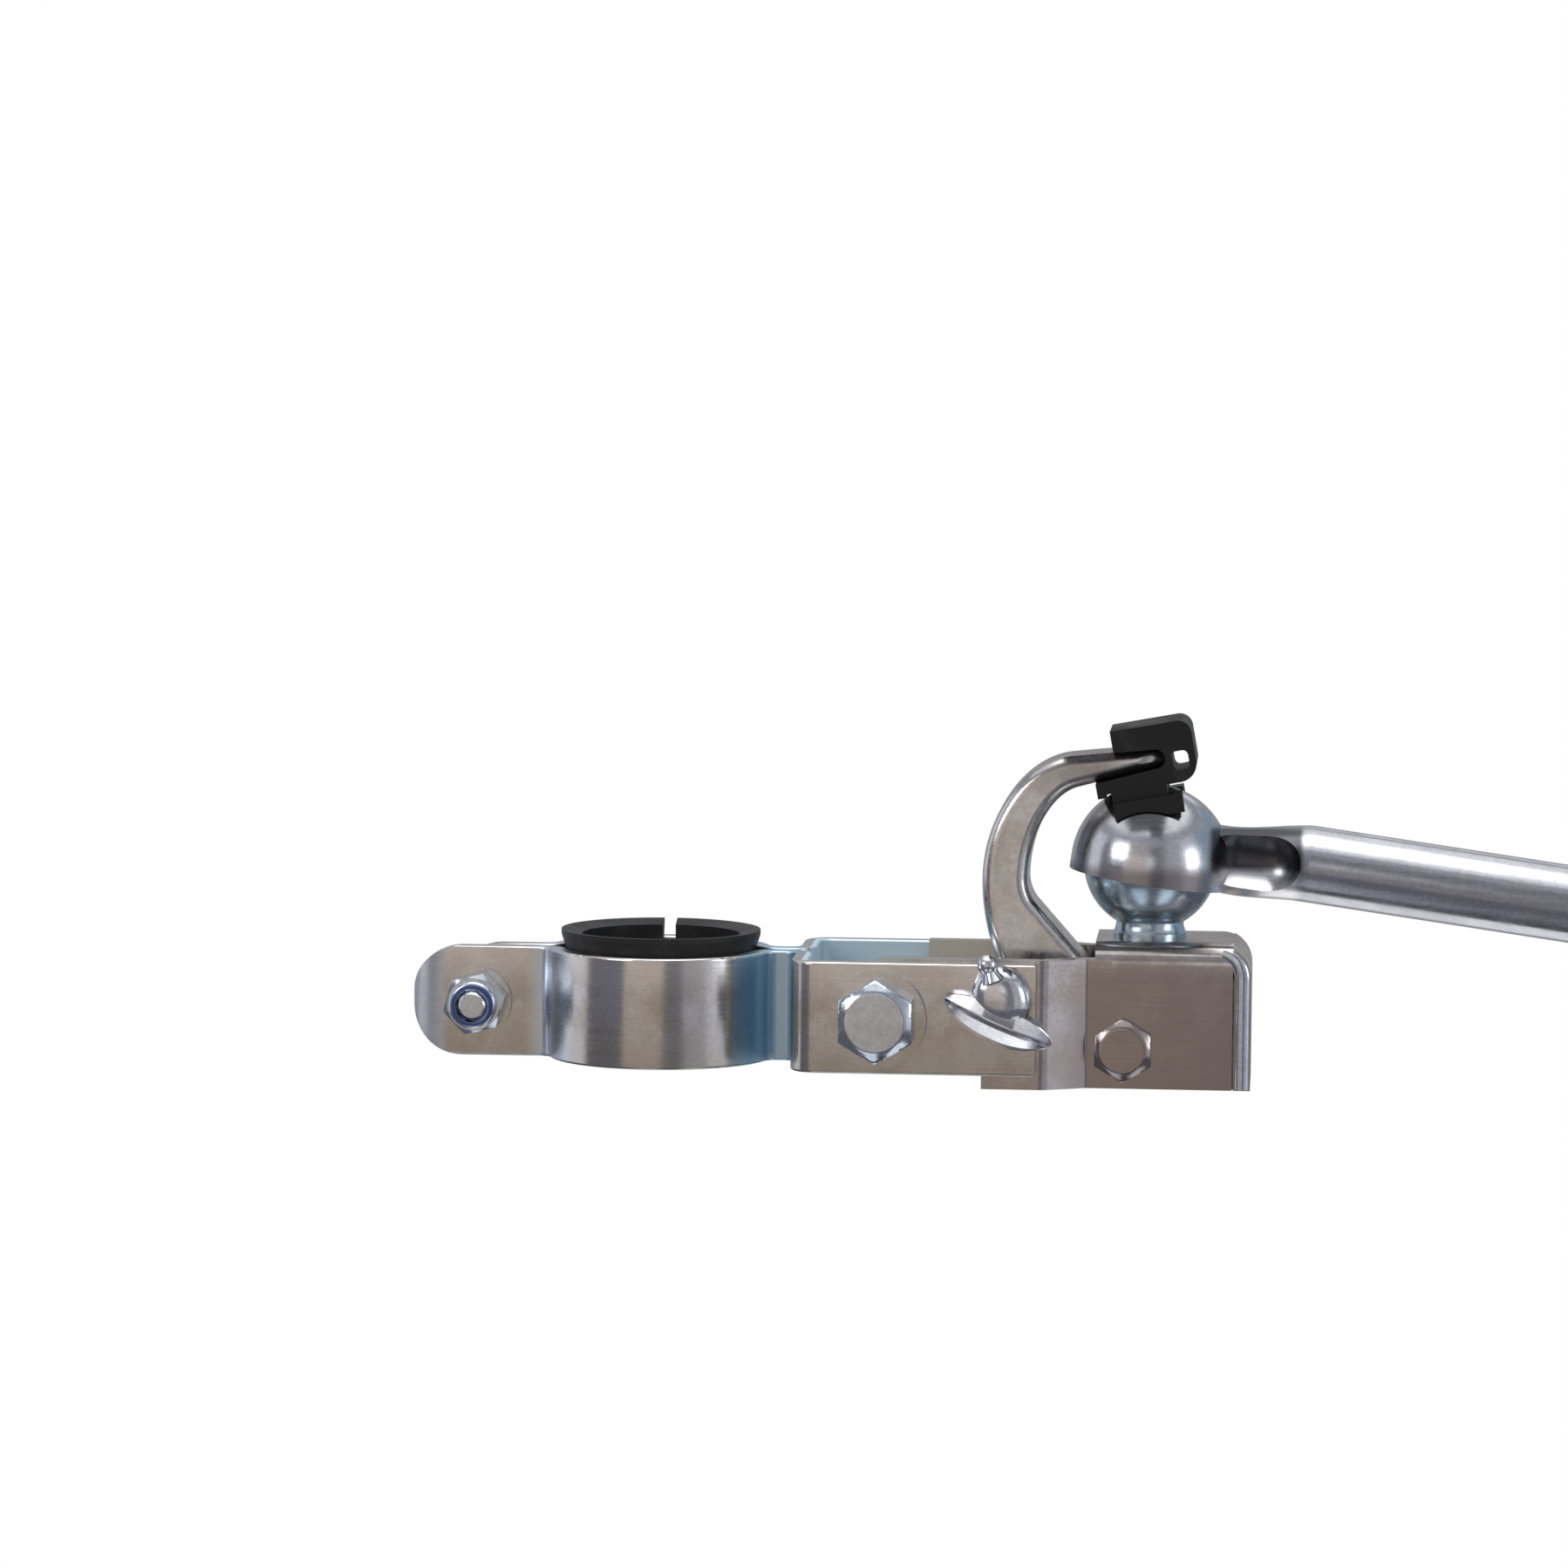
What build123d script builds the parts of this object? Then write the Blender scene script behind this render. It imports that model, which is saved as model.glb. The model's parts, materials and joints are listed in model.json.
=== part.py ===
from build123d import *
import os
from math import acos, atan2, cos, degrees, hypot, radians, sin, sqrt, tan

# Bike trailer hitch: strip clamp, ball bracket, hold-down arm and drawbar end.
# Millimetres. Z is the axis of the clamped bore, X points to the trailer and
# -Y faces the side that the wing screw is on. Z is 0 at mid height of the strip.

# Folded strip of the clamp and the bore that it grips
strip = 3.0
strip_height = 20.0
strip_bend = 2.0
strip_edge = 0.5
bore_r = 14.3
sleeve_wall = 3.05
sleeve_fit = 0.05
split_gap = 2.0

# Bolted ears on the left, the front one curled round the rear one
ear_bolt_x = -33.0
ear_flat_past_bolt = 5.5
ear_curl_inside = 4.1
rear_ear_past_bolt = 6.0

# Fork on the right: web, two arms and their bolt
web_x = 25.0
fork_inside = 34.0
fork_bolt_x = 40.8
fork_past_bolt = 28.2

# Reducer sleeve
sleeve_slit = 2.4
sleeve_flange_r = 18.1
sleeve_flange_rise = 2.4
sleeve_rim = 0.9

# Folded ball bracket
sheet = 3.0
sheet_bend = 1.0
cheek_proud = 0.5
cheek_drop = 12.7
cheek_lap = 9.7
tongue_r = 7.0
tongue_step = 7.2
box_half = 13.0
box_left_of_ball = 9.4
box_right_of_ball = 18.5
box_end_bend = 6.0
joggle_run = 7.4
joggle_to_box = 1.5
slit_width = 0.3

# Ball stud
ball_reach = 47.9
ball_r = 12.0
ball_height = 13.1
ball_neck_r = 6.1
ball_collar_r = 6.6
ball_collar_height = 0.8
stud_r = 4.0
stud_past_nut = 0.7
neck_flare = 6.0

# Hold-down arm, a forged hook with an eye, a heel and a tapered finger
pivot_back = 4.3
pivot_below_ball = 32.3
arm_bush = 2.85
arm_back = 26.0
arm_mid_drop = 2.9
arm_top_reach = 12.2
arm_top_rise = 19.8
arm_rise_deg = 10.5
arm_finger = 14.8
arm_mid_width = 8.2
arm_top_width = 5.8
arm_tip_width = 3.4
arm_bend_pull = 0.55
arm_foot_deg = 48.5
arm_foot_gap = 0.6
arm_eye_r = 6.8
arm_heel_r = 4.4
arm_heel_past_screw = 0.8
arm_heel_bend = 38.0
arm_edge = 2.0
arm_root = 2.5
arm_side_play = 0.15
arm_swing_deg = 30.0

# Plastic shoe clipped on the finger of the arm
shoe_depth = 18.0
shoe_top_wall = 3.9
shoe_low_wall = 2.2
shoe_end_gap = 4.2
shoe_end_wall = 1.3
shoe_upper_jaw = 7.2
shoe_lower_jaw = 11.3
shoe_corner = 2.4
shoe_low_corner = 3.4
shoe_fit = 0.05
shoe_tooth = 0.6
shoe_notch = 1.0
pad_left = 8.8
pad_right = 3.7
pad_neck_right = 1.2
pad_neck = 1.8
pad_drop = 3.4
pad_depth = 21.0
window_width = 3.0
window_height = 3.6
window_drop = 1.0
pad_gap = 0.3

# Wing screw in the near cheek
wing_reach = 22.2
wing_axis_z = 4.2
wing_screw_r = 3.0
wing_point_r = 1.8
wing_point = 1.5
wing_tip_gap = 0.3
wing_seat_gap = 0.4
wing_hub_r = 5.7
wing_hub_height = 6.4
wing_span = 20.6
wing_offset = 3.9
wing_tilt_deg = -23.0
wing_thick = 3.4
wing_bow = 2.2
wing_depth = 4.6
wing_lug_reach = 7.0
wing_lug_r = 1.7

# Drawbar end: tube, pinched neck and socket cup formed in one
cup_wall = 2.1
cup_gap = 0.3
cup_rim_drop = 2.7
tube_r = 6.95
tube_wall = 1.5
tube_above_ball = 4.3
tube_end = 76.2
drawbar_pitch_deg = 7.9
neck_root = 10.3
neck_waist = 15.2
neck_end = 28.0
neck_root_wide = 7.2
neck_root_half = 5.9
neck_root_drop = 1.3
neck_waist_half = 6.2
neck_waist_narrower = 0.5
neck_waist_drop = 1.5
dent_r = 7.0
dent_outside = 2.4
dent_from = 15.5
dent_to = 20.0
dent_drop = 0.4

# Standard fasteners
hex_deg = 30.0
hex_face = 0.95
clamp_nut_turn_deg = 14.0
m6_r = 3.0
m6_flats = 10.0
m6_head = 4.0
m6_nut = 5.0
lock_collar = 1.9
lock_collar_r = 4.3
lock_round = 0.7
m6_washer_r = 6.2
m6_washer = 1.2
m8_r = 4.0
m8_flats = 13.0
m8_head = 5.3
m8_nut = 6.5
m8_thin_nut = 4.0
m8_washer_r = 8.8
m8_washer = 1.6
stud_washer_r = 8.0
pivot_flats = 10.0
pivot_head = 2.2
spacer_wall = 2.0
thread_end = 2.4
thread_fit = 0.05
hole_fit = 0.2
pin_fit = 0.08

# Places worked out from the sizes above
ring_inside = bore_r + sleeve_wall + sleeve_fit
ring_outside = ring_inside + strip
strip_half = strip_height / 2
fork_half = fork_inside / 2
fork_face = fork_half + strip
fork_end_x = fork_bolt_x + fork_past_bolt
ear_flat_end_x = ear_bolt_x - ear_flat_past_bolt
cheek_inner = fork_half - sheet
cheek_top = strip_half + cheek_proud
bracket_top = cheek_top + sheet
ball_x = fork_bolt_x + ball_reach
ball_z = bracket_top + ball_height
box_left = ball_x - box_left_of_ball
box_right = ball_x + box_right_of_ball
box_inner = box_half - sheet
pivot_x = ball_x - pivot_back
pivot_z = ball_z - pivot_below_ball
wing_x = fork_bolt_x + wing_reach
arm_half = box_inner - arm_bush - arm_side_play
arm_depth = 2 * arm_half
dome_r = ball_r + cup_gap + cup_wall


def span(x_from, x_to, y_from, y_to):
    """Flat rectangle between two corners."""
    middle = Pos((x_from + x_to) / 2, (y_from + y_to) / 2)
    return middle * Rectangle(x_to - x_from, y_to - y_from)


def across(outline, y_from, y_to):
    """Solid with its outline in X and Z, from one Y to another."""
    return extrude(Plane.XZ.offset(-y_to) * outline, y_to - y_from)


def rod_across(x, z, radius, y_from, y_to):
    """Round rod along Y."""
    return across(Pos(x, z) * Circle(radius), y_from, y_to)


def along_y(part, x, y, z, way):
    """Puts a part made along +Z so that it points along +Y or -Y."""
    return Plane(origin=(x, y, z), x_dir=(1, 0, 0), z_dir=(0, way, 0)) * part


def corner(sketch, x, y):
    """The vertex of a sketch nearest to a point."""
    return sketch.vertices().sort_by_distance((x, y, 0))[0]


def rounded(sketch, points, radius):
    """A sketch with the corners near the points rounded."""
    return fillet([corner(sketch, x, y) for x, y in points], radius)


def sharp_corners(sketch):
    """Vertices where two edges of a sketch meet at more than a few degrees."""
    sharp = []
    for vertex in sketch.vertices():
        point = vertex.center()
        ways = []
        for edge in sketch.edges():
            ways += [edge % end for end in (0, 1) if (edge @ end - point).length < 1e-4]
        if ways[0].cross(ways[1]).length > sin(radians(4)):
            sharp.append(vertex)
    return sharp


def washer(outer_r, inner_r, thick):
    """Flat washer on Z = 0."""
    return extrude(Circle(outer_r) - Circle(inner_r), thick)


def hexagon(flats, height, both_ends):
    """Hexagon on Z = 0 with its corners turned off, on top or at both ends."""
    reach = flats / 2 / cos(radians(hex_deg))
    flat_r = hex_face * flats / 2
    drop = (reach - flat_r) * tan(radians(hex_deg))
    low = [(flat_r, 0), (reach, drop)] if both_ends else [(reach, 0)]
    profile = Polyline((0, 0), *low, (reach, height - drop), (flat_r, height), (0, height), close=True)
    turned = revolve(Plane.XZ * make_face(profile), Axis.Z)
    return extrude(RegularPolygon(flats / 2, 6, major_radius=False), height) & turned


def nut(flats, height, bolt_r):
    """Hexagon nut on Z = 0."""
    return hexagon(flats, height, True) - extrude(Circle(bolt_r + thread_fit), height)


def bolt(flats, head, radius, length):
    """Hexagon bolt with its seat on Z = 0, its shank up and its head below."""
    tip = radius / 5
    shank = chamfer(extrude(Circle(radius), length).edges().group_by(Axis.Z)[-1], tip)
    return shank + Rot(X=180) * hexagon(flats, head, False)


def clamp_plan(ear_end):
    """Plan of the front half in X and Y, from the end of its ear to the end of its fork arm."""
    near = -split_gap / 2
    far = near - strip
    mid_r = ring_inside + strip / 2
    below = span(-2 * ring_outside, 2 * ring_outside, -2 * ring_outside, near)
    plan = (Circle(ring_outside) - Circle(ring_inside)) & below
    plan += span(ear_end, -mid_r, far, near)
    plan += span(mid_r, web_x + strip, far, near)
    plan += span(web_x, web_x + strip, -fork_face, near)
    plan += span(web_x, fork_end_x, -fork_face, -fork_half)
    outer_x = sqrt(ring_outside**2 - far**2)
    inner_x = sqrt(ring_inside**2 - near**2)
    tight = [(-outer_x, far), (outer_x, far), (web_x, far), (web_x + strip, -fork_half)]
    wide = [(-inner_x, near), (inner_x, near), (web_x + strip, near), (web_x, -fork_face)]
    plan = rounded(plan, tight, strip_bend)
    return rounded(plan, wide, strip_bend + strip)


def clamp_half(plan, end_x, wing_hole):
    """Strip bent to a plan, with a round end at the ear and its bolt holes."""
    half = extrude(Pos(0, 0, -strip_half) * plan, strip_height)
    flat_faces = half.faces().sort_by(Axis.Z)
    half = fillet(flat_faces[0].edges() + flat_faces[-1].edges(), strip_edge)
    round_end = Pos(end_x + strip_half, 0) * Circle(strip_half)
    round_end += span(end_x + strip_half, fork_end_x + strip, -strip_height, strip_height)
    half &= across(round_end, -2 * fork_face, 2 * fork_face)
    half -= rod_across(ear_bolt_x, 0, m6_r + hole_fit, -fork_face, fork_face)
    half -= rod_across(fork_bolt_x, 0, m8_r + hole_fit, -2 * fork_face, 0)
    if wing_hole:
        half -= rod_across(wing_x, wing_axis_z, wing_screw_r + 2 * hole_fit, -2 * fork_face, 0)
    return half


def clamp_front_half():
    curl_y = ear_curl_inside - split_gap / 2
    curl_out = ear_curl_inside + strip
    curl = Circle(curl_out) - Circle(ear_curl_inside)
    curl &= span(-curl_out, 0, -curl_out, 0)
    plan = clamp_plan(ear_flat_end_x) + Pos(ear_flat_end_x, curl_y) * curl
    return clamp_half(plan, ear_flat_end_x - curl_out, True)


def clamp_rear_half():
    end_x = ear_bolt_x - rear_ear_past_bolt
    return mirror(clamp_half(clamp_plan(end_x), end_x, False), Plane.XZ)


def reducer_sleeve():
    """Split plastic sleeve with a thin flange that sits above the strip."""
    outer_r = ring_inside - sleeve_fit
    flange_z = strip_half + sleeve_flange_rise
    rim_z = flange_z + sleeve_rim
    profile = Polyline(
        (bore_r, -strip_half),
        (outer_r, -strip_half),
        (outer_r, strip_half),
        (sleeve_flange_r, flange_z),
        (sleeve_flange_r, rim_z),
        (sleeve_flange_r - sleeve_rim, rim_z),
        (bore_r, flange_z),
        close=True,
    )
    sleeve = revolve(Plane.XZ * make_face(profile), Axis.Z)
    slit = span(-sleeve_slit / 2, sleeve_slit / 2, 0, 2 * sleeve_flange_r)
    return sleeve - extrude(Pos(0, 0, -strip_height) * slit, 2 * strip_height)


def ear_stack_y():
    """Outer face of the bolted ears."""
    return split_gap / 2 + strip


def clamp_bolt():
    seat = ear_stack_y() + m6_washer
    length = 2 * seat + m6_nut + thread_end
    return along_y(bolt(m6_flats, m6_head, m6_r, length), ear_bolt_x, seat, 0, -1)


def clamp_nut():
    """Lock nut: a hexagon with a round collar that holds a nylon ring."""
    seat = ear_stack_y() + m6_washer
    collar = extrude(Circle(lock_collar_r), m6_nut + lock_collar)
    collar = fillet(collar.edges().group_by(Axis.Z)[-1], lock_round)
    collar -= extrude(Circle(m6_r + thread_fit), m6_nut + lock_collar)
    body = Rot(Z=clamp_nut_turn_deg) * nut(m6_flats, m6_nut, m6_r) + collar
    return along_y(body, ear_bolt_x, -seat, 0, -1)


def clamp_washers():
    ring = washer(m6_washer_r, m6_r + hole_fit, m6_washer)
    near = along_y(ring, ear_bolt_x, -ear_stack_y(), 0, -1)
    far = along_y(ring, ear_bolt_x, ear_stack_y(), 0, 1)
    return Compound([near, far])


def fork_bolt():
    seat = fork_face + m8_washer
    length = 2 * seat + m8_nut + thread_end
    return along_y(Rot(Z=hex_deg) * bolt(m8_flats, m8_head, m8_r, length), fork_bolt_x, -seat, 0, 1)


def fork_bolt_nut():
    seat = fork_face + m8_washer
    return along_y(nut(m8_flats, m8_nut, m8_r), fork_bolt_x, seat, 0, 1)


def fork_bolt_washers():
    ring = washer(m8_washer_r, m8_r + hole_fit, m8_washer)
    near = along_y(ring, fork_bolt_x, -fork_face, 0, -1)
    far = along_y(ring, fork_bolt_x, fork_face, 0, 1)
    return Compound([near, far])


def fork_spacer():
    """Tube that keeps the two cheeks apart when the fork bolt is tight."""
    inner_r = m8_r + hole_fit
    tube = washer(inner_r + spacer_wall, inner_r, 2 * cheek_inner)
    return along_y(tube, fork_bolt_x, -cheek_inner, 0, 1)


def bracket_cheek():
    """Joggled cheek on the -Y side, with a tongue to the fork bolt."""
    joggle_right = box_left - joggle_to_box
    joggle_left = joggle_right - joggle_run
    half_turn = atan2(fork_half - box_half, joggle_run) / 2
    lean = sheet * tan(half_turn)
    left = fork_bolt_x - tongue_r
    outline = Polyline(
        (left, -fork_half),
        (joggle_left, -fork_half),
        (joggle_right, -box_half),
        (box_left + sheet, -box_half),
        (box_left + sheet, -box_inner),
        (joggle_right - lean, -box_inner),
        (joggle_left - lean, -cheek_inner),
        (left, -cheek_inner),
        close=True,
    )
    plan = make_face(outline)
    inside = [(joggle_right, -box_half), (joggle_left - lean, -cheek_inner)]
    outside = [(joggle_left, -fork_half), (joggle_right - lean, -box_inner)]
    plan = rounded(plan, inside, sheet_bend)
    plan = rounded(plan, outside, sheet_bend + sheet)
    cheek = extrude(Pos(0, 0, -cheek_drop) * plan, cheek_drop + cheek_top)
    lap_x = fork_end_x - cheek_lap
    step_x = fork_bolt_x + tongue_step
    side = span(lap_x, box_left + sheet, -cheek_drop, cheek_top)
    side += span(step_x, lap_x, -tongue_r, cheek_top)
    side += span(fork_bolt_x, step_x, -tongue_r, tongue_r)
    side += Pos(fork_bolt_x, 0) * Circle(tongue_r)
    return cheek & across(side, -fork_half, 0)


def bracket_box():
    """Seat of the ball: top plate, two side flanges and an end flange, folded down."""
    fold = sheet_bend + sheet
    flange_x = box_right - sheet
    slit_x = flange_x - slit_width
    outside = span(-box_half, box_half, -cheek_drop, bracket_top)
    outside = rounded(outside, [(-box_half, bracket_top), (box_half, bracket_top)], fold)
    inside = span(-box_inner, box_inner, -cheek_drop, cheek_top)
    inside = rounded(inside, [(-box_inner, cheek_top), (box_inner, cheek_top)], sheet_bend)
    channel = extrude(Plane.YZ.offset(box_left) * (outside - inside), slit_x - box_left)
    end_outside = span(box_left, box_right, -cheek_drop, bracket_top)
    end_outside = rounded(end_outside, [(box_right, bracket_top)], box_end_bend)
    end_inside = span(box_left, flange_x, -cheek_drop, cheek_top)
    end_inside = rounded(end_inside, [(flange_x, cheek_top)], box_end_bend - sheet)
    end_strip = (end_outside - end_inside) & span(slit_x, box_right, -cheek_drop, bracket_top)
    box = channel & across(end_outside, -box_half, box_half)
    return box + across(end_strip, -box_half, box_half)


def ball_bracket():
    near_cheek = bracket_cheek()
    bracket = bracket_box() + near_cheek + mirror(near_cheek, Plane.XZ)
    bracket -= rod_across(fork_bolt_x, 0, m8_r + hole_fit, -fork_face, fork_face)
    bracket -= rod_across(pivot_x, pivot_z, m6_r + pin_fit, -fork_face, fork_face)
    bracket -= rod_across(wing_x, wing_axis_z, wing_screw_r + 2 * hole_fit, -fork_face, 0)
    return bracket - Pos(ball_x, 0, 0) * extrude(Circle(stud_r + hole_fit), 2 * bracket_top)


def weld_nut():
    """Nut welded inside the near cheek for the wing screw."""
    body = nut(m6_flats, m6_nut, wing_screw_r)
    return along_y(body, wing_x, -cheek_inner, wing_axis_z, 1)


def ball_stud():
    """Turned ball with a waisted neck, a collar on the plate and a threaded end."""
    nut_z = cheek_top - m8_washer - m8_thin_nut
    low_z = nut_z - stud_past_nut
    collar_z = bracket_top + ball_collar_height
    join_z = ball_z - sqrt(ball_r**2 - ball_neck_r**2)
    mid_z = (collar_z + join_z) / 2
    waist_r = ball_neck_r + (ball_collar_r - ball_neck_r) / neck_flare
    stud = Polyline(
        (0, ball_z), (0, low_z), (stud_r, low_z), (stud_r, bracket_top),
        (ball_collar_r, bracket_top), (ball_collar_r, collar_z),
    )
    neck = ThreePointArc((ball_collar_r, collar_z), (waist_r, mid_z), (ball_neck_r, join_z))
    side = sqrt(0.5) * ball_r
    ball = ThreePointArc((ball_neck_r, join_z), (ball_r, ball_z), (side, ball_z + side))
    top_z = ball_z + ball_r
    crown = ThreePointArc((side, ball_z + side), (ball_r / 2, ball_z + ball_r * sqrt(0.75)), (0, top_z))
    shut = Line((0, top_z), (0, ball_z))
    profile = make_face([*stud.edges(), neck, ball, crown, shut])
    return Pos(ball_x, 0, 0) * revolve(Plane.XZ * profile, Axis.Z)


def ball_stud_washer():
    ring = washer(stud_washer_r, stud_r + hole_fit, m8_washer)
    return Pos(ball_x, 0, cheek_top - m8_washer) * ring


def ball_stud_nut():
    low_z = cheek_top - m8_washer - m8_thin_nut
    return Pos(ball_x, 0, low_z) * Rot(Z=hex_deg) * nut(m8_flats, m8_thin_nut, stud_r)


def arm_pivot_bolt():
    length = 2 * box_half + m6_washer + m6_nut + thread_end
    body = Rot(Z=hex_deg) * bolt(pivot_flats, pivot_head, m6_r, length)
    return along_y(body, pivot_x, -box_half, pivot_z, 1)


def arm_pivot_washer():
    return along_y(washer(m6_washer_r, m6_r + hole_fit, m6_washer), pivot_x, box_half, pivot_z, 1)


def arm_pivot_nut():
    return along_y(nut(m6_flats, m6_nut, m6_r), pivot_x, box_half + m6_washer, pivot_z, 1)


def arm_spacers():
    """Two bushes that centre the eye of the arm between the flanges."""
    inner_r = m6_r + pin_fit
    bush = washer(inner_r + spacer_wall, inner_r, arm_bush)
    near = along_y(bush, pivot_x, -box_inner, pivot_z, 1)
    far = along_y(bush, pivot_x, box_inner, pivot_z, -1)
    return Compound([near, far])


def finger_ends():
    """Middle of the finger where it leaves the hook, and at its tip, in X and Z."""
    rise = radians(arm_rise_deg)
    start = Vector(ball_x - arm_back + arm_top_reach, ball_z - arm_mid_drop + arm_top_rise)
    return start, start + Vector(cos(rise), sin(rise)) * arm_finger


def band_sides(start, start_r, end, end_r):
    """The two straight sides that touch a circle at the start and one at the end."""
    way = end - start
    base = atan2(way.Y, way.X)
    turn = acos((start_r - end_r) / way.length)
    sides = []
    for angle in (base + turn, base - turn):
        out = Vector(cos(angle), sin(angle))
        sides.append((start + out * start_r, end + out * end_r))
    return sides


def bend(start, way, end, end_way):
    """Smooth bend that leaves one point and reaches another along two given ways."""
    along = (end - start).cross(end_way).Z / way.cross(end_way).Z
    meet = start + way * along
    return Bezier(start, start + (meet - start) * arm_bend_pull, end + (meet - end) * arm_bend_pull, end)


def arm_back_edge(finger_end):
    """Outer edge of the hook from the finger down to the heel."""
    down = Vector(0, -1)
    mid = Vector(ball_x - arm_back - arm_mid_width / 2, ball_z - arm_mid_drop)
    finger = Line(finger_end[1], finger_end[0])
    upper = bend(finger_end[0], finger % 1, mid, down)
    drop = mid.Y - wing_axis_z
    lower = JernArc(mid, down, arm_heel_bend, degrees(drop / arm_heel_bend))
    return [finger, upper, lower]


def arm_front_edge(finger_end):
    """Inner edge of the hook from the finger to the eye, past the nut of the ball stud."""
    down = Vector(0, -1)
    foot_turn = radians(arm_foot_deg)
    foot_way = Vector(cos(foot_turn), -sin(foot_turn))
    foot_side = Vector(sin(foot_turn), cos(foot_turn))
    mid = Vector(ball_x - arm_back + arm_mid_width / 2, ball_z - arm_mid_drop)
    nut_edge = Vector(ball_x - m8_flats / 2, cheek_top - m8_washer - m8_thin_nut)
    eye = Vector(pivot_x, pivot_z)
    foot_end = eye + foot_side * ((nut_edge - eye).dot(foot_side) - arm_foot_gap)
    meet = foot_end - foot_way * ((foot_end.X - mid.X) / foot_way.X)
    low = meet + foot_way * (mid - meet).length
    finger = Line(finger_end[1], finger_end[0])
    upper = bend(finger_end[0], finger % 1, mid, down)
    lower = bend(mid, down, low, foot_way)
    return [finger, upper, lower, Line(low, foot_end)]


def arm_outline():
    """Flat outline of the arm: hook, tapered finger, eye, and heel under the wing screw."""
    start, tip = finger_ends()
    upper_side, under_side = band_sides(start, arm_top_width / 2, tip, arm_tip_width / 2)
    nose = tip + (tip - start).normalized() * (arm_tip_width / 2)
    back_edge = arm_back_edge(upper_side)
    front_edge = arm_front_edge(under_side)
    eye = Vector(pivot_x, pivot_z)
    heel = Vector(wing_x + arm_heel_past_screw, wing_axis_z)
    hook = make_face([
        ThreePointArc(upper_side[1], nose, under_side[1]),
        *back_edge,
        *front_edge,
        *Polyline(back_edge[-1] @ 1, eye, front_edge[-1] @ 1).edges(),
    ])
    sides = band_sides(eye, arm_eye_r, heel, arm_heel_r)
    web = make_face(Polyline(*sides[0], *reversed(sides[1]), close=True))
    outline = hook + web + Pos(*eye) * Circle(arm_eye_r) + Pos(*heel) * Circle(arm_heel_r)
    return fillet(sharp_corners(outline), arm_root)


def hold_down_arm():
    """Forged arm with its edges well rounded and a bore for the pivot bolt."""
    arm = across(arm_outline(), -arm_half, arm_half)
    sides = arm.faces().sort_by(Axis.Y)
    arm = fillet(sides[0].edges() + sides[-1].edges(), arm_edge)
    return arm - rod_across(pivot_x, pivot_z, m6_r + pin_fit, -arm_depth, arm_depth)


def arm_shoe():
    """Moulded clip with a pressure pad under it that is hollowed to slide over the cup."""
    tip = finger_ends()[1]
    tip_half = arm_tip_width / 2
    slope = (arm_top_width - arm_tip_width) / 2 / arm_finger
    slot_end = tip_half + shoe_end_gap
    wall_end = slot_end + shoe_end_wall
    top = tip_half + slope * shoe_upper_jaw + shoe_top_wall
    low = -tip_half - slope * shoe_lower_jaw - shoe_low_wall
    block = span(-shoe_upper_jaw, wall_end, -tip_half, top)
    block += span(-shoe_lower_jaw, wall_end, low, 0)
    block = rounded(block, [(wall_end, top)], shoe_corner)
    block = rounded(block, [(wall_end, low)], shoe_low_corner)
    block += span(-shoe_lower_jaw, -pad_left - shoe_notch, low - shoe_tooth, low)
    block += span(-pad_left, pad_neck_right, low - pad_neck, low)
    pad = span(-pad_left, pad_right, low - pad_neck - pad_drop, low - pad_neck)
    finger = make_face(
        Polyline(
            (-2 * shoe_lower_jaw, tip_half + 2 * shoe_lower_jaw * slope + shoe_fit),
            (0, tip_half + shoe_fit),
            (0, -tip_half - shoe_fit),
            (-2 * shoe_lower_jaw, -tip_half - 2 * shoe_lower_jaw * slope - shoe_fit),
            close=True,
        )
    )
    finger += Circle(tip_half + shoe_fit)
    window = Pos(slot_end - window_width / 2, -window_drop)
    window *= RectangleRounded(window_width, window_height, window_width / 3)
    frame = Pos(*tip) * Rot(Z=arm_rise_deg)
    shoe = across(frame * (block - finger - window), -shoe_depth / 2, shoe_depth / 2)
    shoe += across(frame * pad, -pad_depth / 2, pad_depth / 2)
    return shoe - dome_path()


def dome_path():
    """Room that the cup's dome takes up under the shoe while the arm swings open."""
    clear_r = dome_r + pad_gap
    away = degrees(atan2(pivot_back, pivot_below_ball))
    at_pivot = Plane(origin=(pivot_x, 0, pivot_z), x_dir=(0, 1, 0), z_dir=(1, 0, 0))
    section = at_pivot * Pos(0, hypot(pivot_back, pivot_below_ball)) * Circle(clear_r)
    axis = Axis((pivot_x, 0, pivot_z), (0, 1, 0))
    swept = revolve(section.rotate(axis, away), axis, arm_swing_deg)
    return swept + Pos(ball_x, 0, ball_z) * Sphere(clear_r)


def wing_bar():
    """Bowed finger bar of the wing screw, flat outline."""
    half = wing_span / 2
    low = -wing_thick / 2
    high = wing_thick / 2
    tip = wing_thick / 4
    edges = [
        ThreePointArc((-half, low + tip), (0, low - wing_bow / 2), (half, low + tip)),
        ThreePointArc((half, low + tip), (half + tip, tip), (half, high)),
        ThreePointArc((half, high), (0, high - wing_bow / 2), (-half, high)),
        ThreePointArc((-half, high), (-half - tip, tip), (-half, low + tip)),
    ]
    return make_face(edges)


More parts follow.
